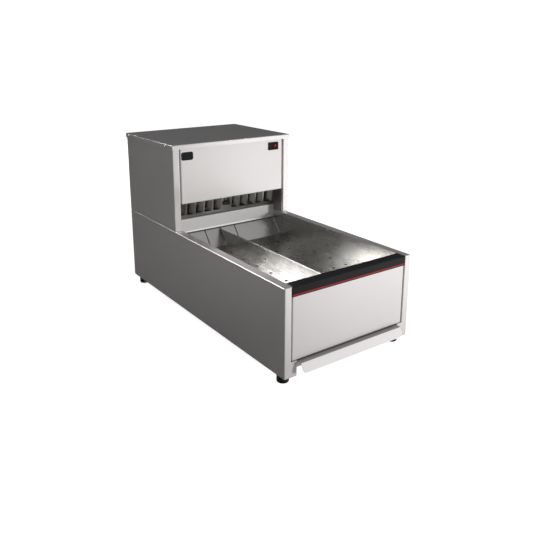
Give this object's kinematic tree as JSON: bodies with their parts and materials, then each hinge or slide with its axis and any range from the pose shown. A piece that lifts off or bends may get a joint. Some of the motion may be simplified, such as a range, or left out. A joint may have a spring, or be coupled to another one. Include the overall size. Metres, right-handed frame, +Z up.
{
  "type": "crisp food warmer",
  "caption": "Countertop warmer with a long open bin in a folded steel base, a blower tower at the rear, a lift-out divider and floor, and a crumb tray that slides out at the front.",
  "frame": {"origin": "on the counter, under the middle of the whole object's box", "axes": "+Z up, +Y towards the blower tower at the rear, +X to the right seen from the front"},
  "size_m": [0.3676, 0.781, 0.444],
  "materials": {
    "brushed_side": "fine vertical brushing",
    "brushed_panel": "fine brushing, satin",
    "bin_steel": "bright satin",
    "grille_steel": "satin, cut edges bare",
    "zinc_sheet": "plain zinc coat",
    "wheel_alloy": "pressed, bare",
    "bright_hardware": "plated",
    "black_trim": "semi-gloss black",
    "red_line": "gloss",
    "black_plastic": "fine texture",
    "red_lens": "clear gloss",
    "foot_rubber": "matte",
    "motor_paint": "satin black",
    "heater_sheath": "heat-dulled",
    "limit_disc": "bare"
  },
  "bodies": {
    "cabinet": {"base_left_side": "brushed_side", "base_right_side": "brushed_side", "tower_left_side": "brushed_side", "tower_right_side": "brushed_side", "base_front_panel": "brushed_panel", "tower_front_panel": "brushed_panel", "tower_lid": "brushed_panel", "rear_apron": "brushed_panel", "bin_liner": "bin_steel", "throat_left": "bin_steel", "throat_right": "bin_steel", "air_grille": "grille_steel", "base_floor": "zinc_sheet", "base_rear_panel": "zinc_sheet", "tower_rear_panel": "zinc_sheet", "tray_rail_left": "zinc_sheet", "tray_rail_right": "zinc_sheet", "plenum_top": "zinc_sheet", "return_duct": "zinc_sheet", "blower_deck": "zinc_sheet", "blower_scroll": "zinc_sheet", "foot_screws": "bright_hardware", "foot_nuts": "bright_hardware", "lid_screws": "bright_hardware", "rear_screws": "bright_hardware", "motor_screws": "bright_hardware", "front_trim_strip": "black_trim", "blank_badge": "black_trim", "trim_pinstripe": "red_line", "switch_body": "black_plastic", "grille_latch": "black_plastic", "cord_gland": "black_plastic", "gland_nut": "black_plastic", "thermostat": "black_plastic", "terminal_block": "black_plastic", "foot_front_left": "foot_rubber", "foot_front_right": "foot_rubber", "foot_rear_left": "foot_rubber", "foot_rear_right": "foot_rubber", "blower_motor": "motor_paint", "heater_element": "heater_sheath", "heater_collars": "heater_sheath", "thermostat_probe": "heater_sheath", "high_limit": "limit_disc"},
    "crumb_tray": {"crumb_tray": "bin_steel"},
    "floor_plate": {"bin_floor": "bin_steel"},
    "divider": {"bin_divider": "bin_steel"},
    "rocker": {"switch_rocker": "black_plastic", "switch_lens": "red_lens"},
    "wheel": {"blower_wheel": "wheel_alloy", "motor_shaft": "bright_hardware"}
  },
  "joints": [
    {"name": "tray_slide", "type": "slide", "parent": "cabinet", "child": "crumb_tray", "axis": [0, -1, 0], "range_m": [0, 0.36]},
    {"name": "floor_lift", "type": "slide", "parent": "cabinet", "child": "floor_plate", "axis": [0, 0, 1], "range_m": [0, 0.045]},
    {"name": "divider_lift", "type": "slide", "parent": "floor_plate", "child": "divider", "axis": [0, 0, 1], "range_m": [0, 0.045]},
    {"name": "rocker_tilt", "type": "hinge", "parent": "cabinet", "child": "rocker", "pos_m": [0.1278, 0.1029, 0.4079], "axis": [0, 0, 1], "range_deg": [0, 14]},
    {"name": "wheel_spin", "type": "hinge", "parent": "cabinet", "child": "wheel", "pos_m": [0, 0.2615, 0.3], "axis": [0, 0, 1], "continuous": true}
  ]
}
